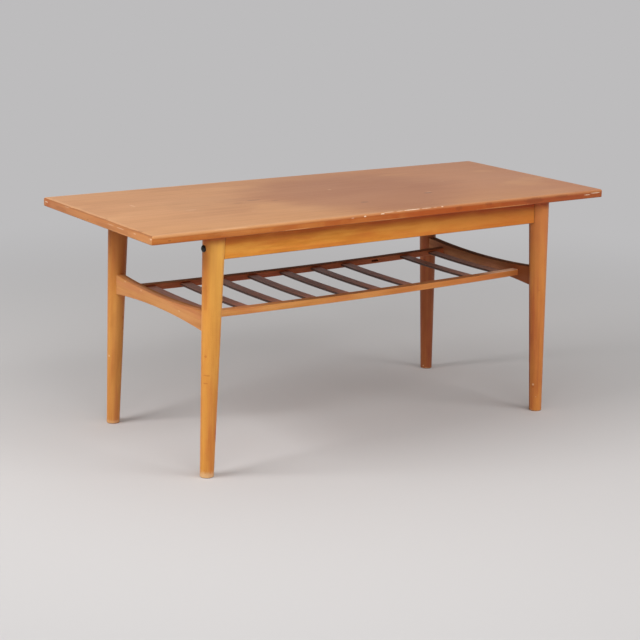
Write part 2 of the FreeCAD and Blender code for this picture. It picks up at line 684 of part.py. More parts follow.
pieces = top_pieces()
for end_name, end_x in (("left", "-"), ("right", "+")):
    for side_name, side_y in (("front", "-"), ("back", "+")):
        pieces.append(leg(f"{side_name}_{end_name}_leg", end_x, side_y))
pieces += [apron("front_apron", turned=False), apron("back_apron", turned=True)]
pieces += [stretcher("right_end_stretcher", turned=False), stretcher("left_end_stretcher", turned=True)]
pieces += [rail("back_shelf_rail", turned=False), rail("front_shelf_rail", turned=True)]
pieces += [slat(place) for place in range(1, SLAT_PLACES + 1) if place != LOST_SLAT_PLACE]
pieces += [leg_bolts(), barrel_nuts(), leg_dowels(), rail_dowels(), top_screws()]

doc.recompute()
for item in doc.Objects:
    assert "Invalid" not in item.State and "Error" not in item.State, f"{item.Label} failed"
os.makedirs("parts", exist_ok=True)
for piece in pieces:
    shape = piece.Shape
    assert not shape.isNull() and shape.isValid() and shape.Volume > 0, f"{piece.Label} has no solid"
    shape.exportStep(f"parts/{piece.Label}.step")
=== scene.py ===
import math
import bpy
from mathutils import Matrix, Vector


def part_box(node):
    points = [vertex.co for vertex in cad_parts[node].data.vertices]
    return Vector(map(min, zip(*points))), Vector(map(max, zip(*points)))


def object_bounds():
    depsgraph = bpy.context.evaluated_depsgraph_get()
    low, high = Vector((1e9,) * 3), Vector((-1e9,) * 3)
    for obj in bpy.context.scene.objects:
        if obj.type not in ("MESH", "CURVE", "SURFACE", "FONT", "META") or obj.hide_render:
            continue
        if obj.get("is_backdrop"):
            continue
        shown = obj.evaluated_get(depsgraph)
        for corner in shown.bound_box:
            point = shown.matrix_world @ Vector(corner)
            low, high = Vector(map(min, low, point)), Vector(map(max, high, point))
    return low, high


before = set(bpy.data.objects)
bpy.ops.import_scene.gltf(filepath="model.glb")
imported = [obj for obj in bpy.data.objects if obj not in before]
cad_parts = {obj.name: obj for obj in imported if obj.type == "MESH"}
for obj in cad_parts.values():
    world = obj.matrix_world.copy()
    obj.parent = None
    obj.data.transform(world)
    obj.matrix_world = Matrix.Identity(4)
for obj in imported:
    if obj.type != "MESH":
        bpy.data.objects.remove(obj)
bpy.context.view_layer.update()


# Legs: four round tapers turned from beech, stained honey and lacquered. They lean outwards, and
# each one takes an apron end, a bolt and the tenon of an end stretcher. Each is from its own
# plank, so the stain took differently, and the feet are scuffed to bare wood.

FOOT_DIAMETER = 0.0293
HEAD_DIAMETER = 0.0467
RING_GAP = 0.0042
RING_WAVER = 0.022
PITH_DISTANCE = 0.045
FIRST_PITH_TURN = 0.6
PITH_TURN = 2.1
BARE_BEECH = (236, 200, 156)
INNER_SHADE_COLOUR = (100, 54, 30)
DENTED = (184, 84, 34)
HEAD_BEGINS = 0.26
END_SHADE_COLOUR = (208, 108, 50)
END_SHADE_HEIGHTS = (0.3, 0.46)
HEAD_SHADED = (172, 50, 14)
HEAD_SHADE = 0.022
DARK_LINE = (90, 50, 28)
FOOT_RIM = 0.0018
FOOT_RAGGED = 0.012
GRAIN_DEPTH = 0.0001
DENT_DEPTH = 0.0002

# How far apart the planks of the pieces are taken from the endless noise that makes their grain.
PLANK_SPACING = 3.1

# The redder patches of the stain, as shares of its red, green and blue.
FLUSH_SHARES = (1, 0.78, 1.2, 1)

# Each leg's stain from light to dark, the colour of the painted light and shade that its head
# turns to under the top and how far, how much painted shade reddens its end side and darkens
# its inner side, how high and how far its foot is rubbed, and its marks: height, the way it faces
# in degrees from the right, length, width, and strength.
# Bared marks are fresh wood, and dents have filled with dirt and polish.
LEGS = {
    "front_left_leg": {
        "stain": ((228, 158, 70), (214, 138, 57), (190, 106, 44)),
        "head": ((255, 192, 90), 0.6), "end_side_shade": 0.6, "inner_side_shade": 0.1, "foot": (0.017, 0.6),
        "bared": [(0.1, 262, 0.004, 0.003, 0.4)],
        "dents": [(0.385, 196, 0.06, 0.012, 0.22), (0.262, 204, 0.006, 0.007, 0.45),
                  (0.222, 214, 0.003, 0.016, 0.4), (0.205, 206, 0.003, 0.012, 0.5),
                  (0.09, 316, 0.058, 0.007, 1), (0.018, 205, 0.004, 0.005, 0.4)],
    },
    "back_left_leg": {
        "stain": ((226, 157, 78), (211, 139, 66), (185, 110, 52)),
        "head": ((166, 90, 42), 0.9), "end_side_shade": 0, "inner_side_shade": 0, "foot": (0.012, 0.35),
        "bared": [(0.161, 203, 0.005, 0.005, 0.75)],
        "dents": [(0.25, 300, 0.012, 0.006, 0.7), (0.225, 304, 0.008, 0.006, 0.6)],
    },
    "front_right_leg": {
        "stain": ((222, 142, 68), (206, 121, 57), (176, 93, 47)),
        "head": ((214, 134, 74), 0.6), "end_side_shade": 0, "inner_side_shade": 0.45, "foot": (0.003, 0.5),
        "bared": [(0.067, 196, 0.006, 0.006, 0.75), (0.0365, 224, 0.005, 0.006, 0.75),
                  (0.034, 232, 0.004, 0.006, 0.75), (0.0315, 240, 0.004, 0.006, 0.75)],
        "dents": [(0.062, 192, 0.008, 0.008, 0.4), (0.3, 240, 0.005, 0.005, 0.3)],
    },
    "back_right_leg": {
        "stain": ((174, 102, 56), (160, 88, 48), (132, 68, 40)),
        "head": ((132, 78, 42), 0.7), "end_side_shade": 0, "inner_side_shade": 0, "foot": (0.003, 0.5),
        "bared": [(0.008, 215, 0.004, 0.005, 0.75), (0.012, 255, 0.005, 0.005, 0.75)],
        "dents": [(0.2, 240, 0.005, 0.005, 0.2)],
    },
}


class Value:
    """A socket in the nodes of a finish. Sums written with it add Math nodes."""

    def __init__(self, tree, socket):
        self.tree = tree
        self.socket = socket

    def node(self, kind, settings, given, output=0):
        """Adds a node: its settings, then the values or links of its sockets."""
        made = self.tree.nodes.new(kind)
        for setting, choice in settings.items():
            setattr(made, setting, choice)
        for name, source in given.items():
            if isinstance(source, Value):
                self.tree.links.new(source.socket, made.inputs[name])
            else:
                made.inputs[name].default_value = source
        return Value(self.tree, made.outputs[output] if made.outputs else None)

    def sum(self, operation, *others):
        """One operation of the Math node, on this value and others."""
        terms = dict(enumerate((self, *others)))
        return self.node("ShaderNodeMath", {"operation": operation}, terms)

    def __add__(self, other):
        return self.sum("ADD", other)

    def __sub__(self, other):
        return self.sum("SUBTRACT", other)

    def __rsub__(self, other):
        return self * -1 + other

    def __mul__(self, other):
        return self.sum("MULTIPLY", other)

    def __truediv__(self, other):
        return self.sum("DIVIDE", other)

    def __pow__(self, other):
        return self.sum("POWER", other)

    def __abs__(self):
        return self.sum("ABSOLUTE")

    __radd__ = __add__
    __rmul__ = __mul__

    def least(self, other):
        return self.sum("MINIMUM", other)

    def most(self, other):
        return self.sum("MAXIMUM", other)

    def fraction(self):
        """What is left over the last whole number."""
        return self.sum("FRACT")

    def rise(self, low, high):
        """0 at low and 1 at high, with a soft step between them. Low may be the larger one."""
        given = {"Value": self, "From Min": low, "From Max": high}
        return self.node("ShaderNodeMapRange", {"interpolation_type": "SMOOTHSTEP"}, given)

    def along(self, axis):
        """One coordinate of a place, or one part of a direction."""
        return self.node("ShaderNodeSeparateXYZ", {}, {0: self}, axis)

    def vector(self, operation, other, output=0):
        """Sums on whole places."""
        return self.node("ShaderNodeVectorMath", {"operation": operation}, {0: self, 1: other}, output)

    def normal(self):
        """The direction that the surface faces."""
        return self.node("ShaderNodeNewGeometry", {}, {}, "Normal")

    def stretched(self, scale, turn=(0, 0, 0), offset=(0, 0, 0)):
        """A place in other units, then turned, then moved."""
        given = {"Vector": self, "Scale": scale, "Rotation": turn, "Location": offset}
        return self.node("ShaderNodeMapping", {}, given)

    def noise(self, scale, detail=3, roughness=0.5):
        """Soft noise from 0 to 1 at this place, with as many waves to the metre as scale says."""
        given = {"Vector": self.stretched(scale), "Scale": 1, "Detail": detail, "Roughness": roughness}
        return self.node("ShaderNodeTexNoise", {}, given)

    def spot(self, centre, size, ragged):
        """1 within an egg of that half size round a centre, with a ragged edge."""
        shrink = [1 / half for half in size]
        shift = [-middle / half for middle, half in zip(centre, size)]
        reach = self.stretched(shrink, offset=shift).vector("LENGTH", (0, 0, 0), 1)
        return (reach + ragged - 0.5).rise(1.1, 0.75)

    def mix(self, first, second):
        """The first colour where this mask is 0, the second where it is 1."""
        return self.node("ShaderNodeMix", {"data_type": "RGBA"}, {0: self, 6: first, 7: second}, 2)


def paint(colour):
    """A colour given from 0 to 255, as a linear one."""
    shares = [channel / 255 for channel in colour]
    return [s / 12.92 if s <= 0.04045 else ((s + 0.055) / 1.055) ** 2.4 for s in shares] + [1]


def new_finish(name):
    """A new material, and the place on the table, in metres, that its nodes start from."""
    material = bpy.data.materials.new(name)
    material.use_nodes = True
    material.node_tree.nodes.clear()
    start = Value(material.node_tree, None)
    return material, start.node("ShaderNodeTexCoord", {}, {}, "Object")


def grain_place(place, along, seed):
    """The place turned so that the grain runs along its X, in a plank that the seed picks."""
    turn = {"X": (0, 0, 0), "Y": (0, 0, math.pi / 2), "Z": (0, math.pi / 2, 0)}[along]
    return place.stretched((1, 1, 1), turn, (PLANK_SPACING * seed, 0, 0))


def late_wood(plank, pith, waver, ring_gap, early):
    """1 in the darker late wood of each ring round the pith, 0 in the share that is early wood."""
    across = plank.along("Y") - pith[0]
    up = plank.along("Z") - pith[1]
    ring = (((across * across + up * up) ** 0.5 + waver) / ring_gap).fraction()
    return ring.rise(early, 0.85) * ring.rise(1.0, 0.9)


def beech(plank, stain, pith, streaks=0.27):
    """Colour, relief and tone of stained beech: blotches, long streaks, faint rings, fine flecks."""
    light, middle, dark = [paint(colour) for colour in stain]
    late = late_wood(plank, pith, plank.noise((1.6, 13, 13), 2) * RING_WAVER, RING_GAP, 0.1)
    blotch = plank.noise((8, 44, 44), 4, 0.6)
    cloud = plank.noise((5, 17, 17), 2)
    streak = plank.noise((1.6, 120, 120), 3, 0.6)
    fibre = plank.noise((16, 1100, 1100), 2)
    fleck = plank.noise((300, 1700, 1700), 1).rise(0.63, 0.72)
    tone = blotch * (0.62 - streaks) + cloud * 0.3 + streak * streaks + fibre * 0.08
    redder = [channel * share for channel, share in zip(middle, FLUSH_SHARES)]
    flush = (plank.noise((7, 60, 60), 2).rise(0.44, 0.62) * 0.5).mix(middle, redder)
    colour = tone.rise(0.4, 0.56).mix(light, flush)
    shade = tone.rise(0.5, 0.68) * 0.65 + late * cloud.rise(0.3, 0.7) * 0.18 + fleck * 0.35
    colour = shade.least(1).mix(colour, dark)
    relief = fibre * 0.4 - fleck * 0.5 - late * 0.15
    return colour, relief, tone


def surfaced(material, place, colour, roughness, relief, depth=GRAIN_DEPTH, gloss=0.25, metal=0):
    """Joins a colour, a roughness and a relief of that depth in metres in one satin surface."""
    bump = place.node("ShaderNodeBump", {}, {"Height": relief, "Distance": depth, "Strength": 0.6})
    given = {"Base Color": colour, "Roughness": roughness, "Normal": bump,
             "Specular IOR Level": gloss, "Metallic": metal}
    surface = place.node("ShaderNodeBsdfPrincipled", {}, given)
    place.node("ShaderNodeOutputMaterial", {}, {"Surface": surface})
    return material


def dress(name, material):
    """Gives a piece of the table its finish."""
    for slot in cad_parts[name].material_slots:
        slot.material = material


def leg_axis(name):
    """The middle of a leg's foot, how far it leans for each metre up, and which way is outwards."""
    low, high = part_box(name)
    outward = Vector((math.copysign(1, low.x), math.copysign(1, low.y), 0))
    outer = Vector((max(low.x, high.x, key=abs), max(low.y, high.y, key=abs), 0))
    inner = Vector((min(low.x, high.x, key=abs), min(low.y, high.y, key=abs), 0))
    foot = outer - outward * FOOT_DIAMETER / 2
    head = inner + outward * HEAD_DIAMETER / 2
    return foot, (head - foot) / high.z, outward


for number, (name, leg) in enumerate(LEGS.items()):
    foot, lean, outward = leg_axis(name)
    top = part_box(name)[1].z
    material, place = new_finish(name)
    height = place.along("Z")
    # the grain is set upright, so that it follows the leaning leg
    slant = place.node("ShaderNodeVectorMath", {"operation": "SCALE"}, {0: lean, "Scale": height})
    upright = place.vector("SUBTRACT", slant).vector("SUBTRACT", foot)
    pith_turn = PITH_TURN * number + FIRST_PITH_TURN
    pith = (PITH_DISTANCE * math.cos(pith_turn), PITH_DISTANCE * math.sin(pith_turn))
    colour, relief, tone = beech(grain_place(upright, "Z", 1 + number), leg["stain"], pith)
    # painted light and shade on the head of the leg, under the top
    head_light_and_shade, head_share = leg["head"]
    colour = (height.rise(HEAD_BEGINS, top) * head_share).mix(colour, paint(head_light_and_shade))
    # painted shade on the end side, under the overhang of the top
    end_side_shade = (place.normal().along("X") * outward.x).rise(0.6, 0.97) * height.rise(*END_SHADE_HEIGHTS)
    colour = (end_side_shade * leg["end_side_shade"]).mix(colour, paint(END_SHADE_COLOUR))
    # painted shade on the inner side
    inner_side_shade = place.normal().vector("DOT_PRODUCT", -outward.normalized(), 1).rise(0.72, 1)
    colour = (inner_side_shade * leg["inner_side_shade"]).mix(colour, paint(INNER_SHADE_COLOUR))
    # painted shade right under the top
    colour = (height.rise(top - HEAD_SHADE, top) * 0.85).mix(colour, paint(HEAD_SHADED))
    ragged = place.noise((230, 230, 160), 3, 0.6)
    rubbed_height, rubbed_share = leg["foot"]
    rubbed = (height + (ragged - 0.5) * FOOT_RAGGED).rise(rubbed_height, rubbed_height / 3)
    colour = (rubbed * rubbed_share).mix(colour, paint(BARE_BEECH))
    # a dark line round the very bottom of the foot
    colour = (height.rise(FOOT_RIM, FOOT_RIM / 2) * 0.7).mix(colour, paint(DARK_LINE))
    for marks, tint, hollow in ((leg["dents"], DENTED, 0.3), (leg["bared"], BARE_BEECH, 1)):
        for up, facing, length, width, share in marks:
            radius = (FOOT_DIAMETER + (HEAD_DIAMETER - FOOT_DIAMETER) * up / top) / 2
            turn = Vector((math.cos(math.radians(facing)), math.sin(math.radians(facing)), 0))
            centre = foot + lean * up + turn * radius + Vector((0, 0, up))
            mark = place.spot(centre, (width / 2, width / 2, length / 2), ragged)
            colour = (mark * share).mix(colour, paint(tint))
            relief = relief - mark * hollow
    roughness = 0.34 + tone * 0.14 + rubbed * 0.3
    dress(name, surfaced(material, place, colour, roughness, relief, DENT_DEPTH))


# End stretchers: beech boards sawn hollow above and below, and tenoned into the two legs of an
# end. Their inner faces take a darker copy of the stain as painted shade, and their tops carry
# painted shade.

LIT_BEECH = ((216, 152, 93), (206, 140, 81), (180, 112, 60))
SHADED_BEECH = ((188, 132, 90), (172, 116, 76), (136, 86, 56))
STRETCHER_RED = (146, 76, 38)
RED_FRONT = (-0.06, -0.15)
TOP_SHADE_COLOUR = (64, 42, 28)
STRETCHER_PITH = (0.03, 0.24)
STRETCHER_TOP = 0.34
HOLLOW_HALF_LENGTH = 0.19
ARRIS = 0.0026
KNOCK_HALF_SIZE = (ARRIS, 0.005, 0.0018)

# How much painted shade darkens the top of each stretcher at its outer and at its inner edge, and
# the knocks on its outer face: place across the table and depth below the top.
STRETCHERS = {
    "left_end_stretcher": {
        "top_shade": (0.05, 0.5),
        "knocks": [(0.15, ARRIS), (0.075, ARRIS), (-0.094, 0.013)],
    },
    "right_end_stretcher": {
        "top_shade": (0.75, 0.9),
        "knocks": [(-0.1, ARRIS), (0.06, ARRIS)],
    },
}

for number, (name, state) in enumerate(STRETCHERS.items()):
    low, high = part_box(name)
    outward = math.copysign(1, low.x)
    outer_face = max(low.x, high.x, key=abs)
    material, place = new_finish(name)
    plank = grain_place(place, "Y", 11 + number)
    # the outer faces take the lit colour, and the inner ones a darker copy as painted shade
    faded, relief, tone = beech(plank, LIT_BEECH, STRETCHER_PITH)
    shaded, relief, tone = beech(plank, SHADED_BEECH, STRETCHER_PITH)
    normal = place.normal()
    inner = (normal.along("X") * -outward).rise(0.2, 0.8)
    colour = inner.mix(faded, shaded)
    redder = inner * place.along("Y").rise(*RED_FRONT) * 0.8
    colour = redder.mix(colour, paint(STRETCHER_RED))
    inset = (place.along("X") - outer_face) * -outward / (high.x - low.x)
    # painted shade on the tops, deeper towards the inner edge
    at_outer, at_inner = state["top_shade"]
    top_shade = normal.along("Z").rise(0.5, 0.9) * (inset.rise(0.3, 0.8) * (at_inner - at_outer) + at_outer)
    colour = top_shade.mix(colour, paint(TOP_SHADE_COLOUR))
    ragged = place.noise((230, 230, 230), 3, 0.6)
    for y, depth in state["knocks"]:
        top = high.z - (high.z - STRETCHER_TOP) * (1 - (abs(y) / HOLLOW_HALF_LENGTH) ** 2)
        knock = place.spot((outer_face, y, top - depth), KNOCK_HALF_SIZE, ragged)
        colour = (knock * 0.35).mix(colour, paint(BARE_BEECH))
    roughness = 0.38 + tone * 0.14 + top_shade * 0.45
    dress(name, surfaced(material, place, colour, roughness, relief, gloss=0.12))


# Shelf rails: slim beech bars, dowelled into the end stretchers and mortised for the slats. The
# inner faces take a darker copy of the stain as painted shade, and the tops are darker, but the
# front one carries a painted highlight towards its right end. The dowels, here and in the legs,
# are plain beech.

RAIL_STAIN = ((230, 163, 93), (216, 146, 77), (184, 112, 55))
RAIL_FAR_END = (194, 100, 46)
FAR_END = (-0.3, 0.2)
RAIL_SHADED = ((174, 100, 64), (154, 82, 50), (118, 60, 36))
RAIL_PITH = (0.2, 0.05)
DARKER_RAIL_TOP = (108, 74, 54)
FRONT_DARK_MIDDLE = 0.08
FRONT_DARK_REACH = (0.42, 0.2)
RAIL_TOP_HIGHLIGHT = (250, 210, 176)
HIGHLIGHT_END = (0.31, 0.4)
DOWEL_WOOD = (BARE_BEECH, (222, 184, 132), (196, 150, 98))
DOWEL_PITH = (0.01, 0.02)

for number, name in enumerate(["front_shelf_rail", "back_shelf_rail"]):
    outward = math.copysign(1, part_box(name)[0].y)
    material, place = new_finish(name)
    plank = grain_place(place, "X", 21 + number)
    bright, relief, tone = beech(plank, RAIL_STAIN, RAIL_PITH)
    shaded, relief, tone = beech(plank, RAIL_SHADED, RAIL_PITH)
    length = place.along("X")
    bright = (length.rise(*FAR_END) * 0.4).mix(bright, paint(RAIL_FAR_END))
    normal = place.normal()
    # painted shade: the inner faces take the darker copy
    hidden = (normal.along("Y") * -outward).rise(0.1, 0.7)
    colour = hidden.mix(bright, shaded)
    on_top = normal.along("Z").rise(0.5, 0.9)
    # the tops are darker, the front one much less so away from its middle
    darker_share = 0.85
    if name == "front_shelf_rail":
        darker_share = abs(length - FRONT_DARK_MIDDLE).rise(*FRONT_DARK_REACH) * 0.45 + 0.1
    darker_top = on_top * darker_share
    colour = darker_top.mix(colour, paint(DARKER_RAIL_TOP))
    # painted highlight on the front rail's top towards its right end
    if name == "front_shelf_rail":
        colour = (on_top * length.rise(*HIGHLIGHT_END) * 0.85).mix(colour, paint(RAIL_TOP_HIGHLIGHT))
    roughness = 0.38 + tone * 0.14 + darker_top * 0.4
    dress(name, surfaced(material, place, colour, roughness, relief, gloss=0.15))

material, place = new_finish("dowel_wood")
colour, relief, tone = beech(grain_place(place, "X", 25), DOWEL_WOOD, DOWEL_PITH)
dress("rail_dowels", surfaced(material, place, colour, 0.7, relief))
dress("leg_dowels", material)


# Shelf slats: thin laths of dark teak, tenoned into the rails and thinly oiled. Their front ends
# are worn lighter and redder than the middles, and their narrow side faces are painted nearly
# black as shade.

SLAT_STAIN = ((172, 118, 94), (150, 98, 76), (108, 68, 52))
SLAT_PITH = (0.03, 0.32)
SLAT_RING_GAP = 0.004
TEAK_WAVER = 0.03
SLAT_END = (190, 114, 84)
END_WEAR_BEGINS = -0.04
END_WEAR_RAGGED = 0.1
SLAT_EDGE_SHADE = (46, 26, 20)
BROWNER = (160, 106, 72)
BROWNER_RIGHT = (0.1, 0.4)


def teak(plank, stain, pith, ring_gap, contrast):
    """Colour, relief and tone of teak: wavering rings, long streaks and dark pore lines."""
    light, middle, dark = [paint(colour) for colour in stain]
    late = late_wood(plank, pith, plank.noise((1.3, 10, 10), 2) * TEAK_WAVER, ring_gap, 0.15)
    cloud = plank.noise((3.2, 16, 16), 3, 0.55)
    streak = plank.noise((1.0, 110, 110), 4, 0.65)
    pore = plank.noise((13, 850, 850), 2, 0.6).rise(0.57, 0.72)
    tone = cloud * 0.45 + streak * 0.55
    colour = tone.rise(0.38, 0.6).mix(light, middle)
    shade = tone.rise(0.52, 0.74) * 0.6 + late * contrast + pore * 0.35
    colour = shade.least(1).mix(colour, dark)
    relief = 0 - pore * 0.8 - late * 0.1
    return colour, relief, tone


for number, name in enumerate(sorted(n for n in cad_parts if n.startswith("shelf_slat"))):
    material, place = new_finish(name)
    plank = grain_place(place, "Y", 31 + number)
    colour, relief, tone = teak(plank, SLAT_STAIN, SLAT_PITH, SLAT_RING_GAP, 0.25)
    ragged = place.noise((60, 25, 60), 3)
    worn = (place.along("Y") + (ragged - 0.5) * END_WEAR_RAGGED).rise(END_WEAR_BEGINS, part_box(name)[0].y)
    colour = (worn * 0.55).mix(colour, paint(SLAT_END))
    colour = (place.along("X").rise(*BROWNER_RIGHT) * 0.6).mix(colour, paint(BROWNER))
    # painted shade on the narrow side faces
    edge_shade = abs(place.normal().along("X")).rise(0.4, 0.8)
    colour = (edge_shade * 0.85).mix(colour, paint(SLAT_EDGE_SHADE))
    dress(name, surfaced(material, place, colour, 0.4 + tone * 0.16, relief, gloss=0.5))


# Aprons: beech boards between the legs, front and back, their ends coped to the round legs. Under
# the overhang of the top they carry a red painted shade, and dark lines mark the joints and the
# lower edges.

APRON_STAIN = ((246, 170, 70), (234, 150, 52), (204, 116, 38))
APRON_PITH = (-0.09, 0.42)
APRON_SHADED = (172, 36, 6)
SHADE_DEPTHS = (0.026, 0.003)
SHADE_WANDER = 0.02
SHADE_DEEPENS = (-0.4, 0.2)
REDDER_END = (196, 96, 36)
APRON_REDDENS = (-0.3, 0.45)
APRON_JOINT = 0.0014
APRON_LOWER_LINE = 0.002

foot, lean = leg_axis("back_right_leg")[:2]
leg_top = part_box("back_right_leg")[1].z

for number, name in enumerate(["front_apron", "back_apron"]):
    low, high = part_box(name)
    material, place = new_finish(name)
    plank = grain_place(place, "X", 51 + number)
    colour, relief, tone = beech(plank, APRON_STAIN, APRON_PITH, 0.1)
    length = place.along("X")
    height = place.along("Z")
    colour = (length.rise(*APRON_REDDENS) * 0.6).mix(colour, paint(REDDER_END))
    # painted shade under the overhang of the top, deeper towards the right
    wander = (place.noise((7, 7, 7), 2) - 0.5) * SHADE_WANDER
    under_top = (height + wander).rise(high.z - SHADE_DEPTHS[0], high.z - SHADE_DEPTHS[1])
    shaded = under_top * (length.rise(*SHADE_DEEPENS) * 0.28 + 0.52)
    colour = shaded.mix(colour, paint(APRON_SHADED))
    # a dark line along the lower edge
    lower_line = height.rise(low.z + APRON_LOWER_LINE, low.z)
    colour = (lower_line * 0.6).mix(colour, paint(DARK_LINE))
    # the joint is where the apron comes within a thin line of the leg's round side
    off_x = abs(length) - foot.x - height * lean.x
    off_y = abs(place.along("Y")) - foot.y - height * lean.y
    leg_radius = (height / leg_top * (HEAD_DIAMETER - FOOT_DIAMETER) + FOOT_DIAMETER) / 2
    gap = (off_x * off_x + off_y * off_y) ** 0.5 - leg_radius
    colour = (gap.rise(APRON_JOINT, APRON_JOINT / 2) * 0.6).mix(colour, paint(DARK_LINE))
    dress(name, surfaced(material, place, colour, 0.36 + tone * 0.14, relief))


# Bolts and nuts: domed black steel bolts through the legs, with a grey glint painted round the
# socket and grey scuffs, and zinc-plated barrel nuts in the aprons. The screws under the top are
# zinc-plated too.

BOLT_HEAD = 0.015
GLINT_RADIUS = 0.0034
BLACKENED = (12, 11, 11)
SCUFF_AND_GLINT_GREY = (128, 126, 122)
ZINC = (176, 172, 160)
ZINC_DULL = (130, 126, 112)
METAL_DEPTH = 0.00005

material, place = new_finish("blackened_steel")
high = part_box("leg_bolts")[1]
scuff = place.noise((500, 500, 500), 3)
beside = abs(place.along("Y")) - high.y + BOLT_HEAD / 2
above = place.along("Z") - high.z + BOLT_HEAD / 2
# painted highlight: a grey glint round the socket
socket_glint = ((beside * beside + above * above) ** 0.5).rise(GLINT_RADIUS, GLINT_RADIUS / 2)
# the scuffs are wear, and the ring round the socket is the painted glint
rubbed = scuff.rise(0.4, 0.7) * 0.25 + socket_glint * 0.6
colour = rubbed.mix(paint(BLACKENED), paint(SCUFF_AND_GLINT_GREY))
dress("leg_bolts", surfaced(material, place, colour, 0.28 + scuff * 0.2, scuff, METAL_DEPTH))

material, place = new_finish("zinc_plate")
scuff = place.noise((300, 300, 300), 3)
colour = scuff.rise(0.4, 0.7).mix(paint(ZINC), paint(ZINC_DULL))
dress("barrel_nuts", surfaced(material, place, colour, 0.35 + scuff * 0.2, scuff, METAL_DEPTH, metal=1))
dress("top_screws", material)


# Top: a core board between a teak face veneer and a plain backing veneer. The face is laid from
# book-matched leaves. It has bleached, but not where a cloth long lay cornerwise on it.

CORE_CHIPS = ((190, 152, 106), (150, 112, 72))
FACE_STAIN = ((218, 160, 110), (207, 148, 99), (182, 120, 78))
FACE_PITH = (0.075, 0)
FACE_RING_GAP = 0.0065
BACK_STAIN = ((180, 128, 84), (164, 112, 70), (134, 86, 52))
BACK_PITH = (0.1, 0.3)
BACK_RING_GAP = 0.006
FACE_FADED = (228, 172, 118)
RIGHT_END = (185, 119, 87)
FRONT_EDGE = (206, 142, 76)
UNDER_CLOTH = (162, 100, 68)
SCRATCHED = (236, 198, 160)
STAINED = (120, 76, 58)
MARK_DEPTH = 0.01

# The leaves: the seam nearest the front, the width of a leaf, the shares of it from its middle
# where the seam darkens, the shares of a pair where the turned leaf begins, and how the cut runs
# through the log.
LEAF_SEAM = -0.095
LEAF_WIDTH = 0.17
SEAM_SHARES = (0.497, 0.5)
TURNED_SHARES = (0.499, 0.501)
CUT_SLOPE = 0.035
CUT_HEIGHT = 0.04

# Where the face turns to the colours of its right end, its front edge and its front right corner.
TOWARDS_RIGHT = (-0.35, 0.45)
TOWARDS_FRONT = (-0.02, -0.25)
CORNER_RIGHT = (0.35, 0.58)
CORNER_FRONT = (0, -0.25)

# The cloth: its middle, how far its corners reach along and across, the shares of that reach
# between which its dark fades out, and where that is fainter at the back.
CLOTH_CENTRE = (0.055, 0.012)
CLOTH_REACH = (0.31, 0.4)
CLOTH_EDGE_SHARES = (1.28, 0.62)
CLOTH_BACK = (0.24, 0.08)

# Marks on the face: place along and across the table, half length, half width, and strength.
SCRATCHES = [(-0.477, 0.065, 0.003, 0.014, 0.45), (0.205, -0.088, 0.009, 0.0022, 0.65),
             (-0.39, -0.035, 0.014, 0.005, 0.3), (0.02, 0.045, 0.005, 0.0035, 0.45),
             (-0.28, -0.11, 0.006, 0.002, 0.3), (0.33, 0.02, 0.006, 0.002, 0.3)]
STAINS = [(0.197, -0.096, 0.012, 0.0045, 0.8), (-0.005, -0.128, 0.011, 0.006, 0.5),
          (-0.21, 0.005, 0.02, 0.005, 0.35), (-0.17, -0.02, 0.009, 0.004, 0.3),
          (-0.26, -0.01, 0.012, 0.004, 0.25), (-0.32, 0, 0.11, 0.1, 0.09)]


def weathered(place, colour, tone):
    """The upper face as daylight left it, bleached except where the cloth lay."""
    x = place.along("X")
    y = place.along("Y")
    colour = (x.rise(*TOWARDS_RIGHT) * 0.56).mix(colour, paint(RIGHT_END))
    faded = place.noise((3.5, 8, 3.5), 3, 0.6).rise(0.52, 0.66)
    colour = (faded * 0.3).mix(colour, paint(FACE_FADED))
    colour = (y.rise(*TOWARDS_FRONT) * 0.25).mix(colour, paint(FRONT_EDGE))
    corner = x.rise(*CORNER_RIGHT) * y.rise(*CORNER_FRONT)
    colour = (corner * 0.5).mix(colour, paint(RIGHT_END))
    along = abs((x - CLOTH_CENTRE[0]) / CLOTH_REACH[0])
    across = abs((y - CLOTH_CENTRE[1]) / CLOTH_REACH[1])
    wander = (place.noise((5, 9, 5), 3, 0.6) - 0.5) * 0.45
    cloth = (along + across + wander).rise(*CLOTH_EDGE_SHARES)
    cloth = cloth * (y.rise(*CLOTH_BACK) * 0.5 + 0.5)
    return (cloth * (0.46 + tone * 0.2)).mix(colour, paint(UNDER_CLOTH))


material, place = new_finish("core_board")
chips = place.noise((240, 240, 500), 3)
colour = chips.rise(0.4, 0.6).mix(paint(CORE_CHIPS[0]), paint(CORE_CHIPS[1]))
dress("top_core_board", surfaced(material, place, colour, 0.8, chips))

# every second leaf is turned over, so that its figure mirrors the one beside it
material, place = new_finish("top_face_veneer")
leaf = (place.along("Y") - LEAF_SEAM) / LEAF_WIDTH
in_leaf = abs((leaf * 0.5).fraction() * 2 - 1)
cut = place.along("X") * CUT_SLOPE + CUT_HEIGHT
figure = place.node("ShaderNodeCombineXYZ", {}, {0: place.along("X"), 1: in_leaf * LEAF_WIDTH, 2: cut})
colour, relief, tone = teak(figure, FACE_STAIN, FACE_PITH, FACE_RING_GAP, 0.16)
turned = (leaf * 0.5).fraction().rise(*TURNED_SHARES)
seam = abs(in_leaf - 0.5).rise(*SEAM_SHARES)
colour = (turned * 0.1 + seam * 0.3).mix(colour, paint(FACE_STAIN[2]))
colour = weathered(place, colour, tone)
ragged = place.noise((260, 260, 260), 3, 0.6)
face_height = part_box("top_face_veneer")[1].z
for marks, tint in ((SCRATCHES, SCRATCHED), (STAINS, STAINED)):
    for x, y, half_length, half_width, share in marks:
        mark = place.spot((x, y, face_height), (half_length, half_width, MARK_DEPTH), ragged)
        colour = (mark * share).mix(colour, paint(tint))
roughness = 0.4 + place.noise((3, 5, 3), 3) * 0.14
dress("top_face_veneer", surfaced(material, place, colour, roughness, relief, gloss=0.5))

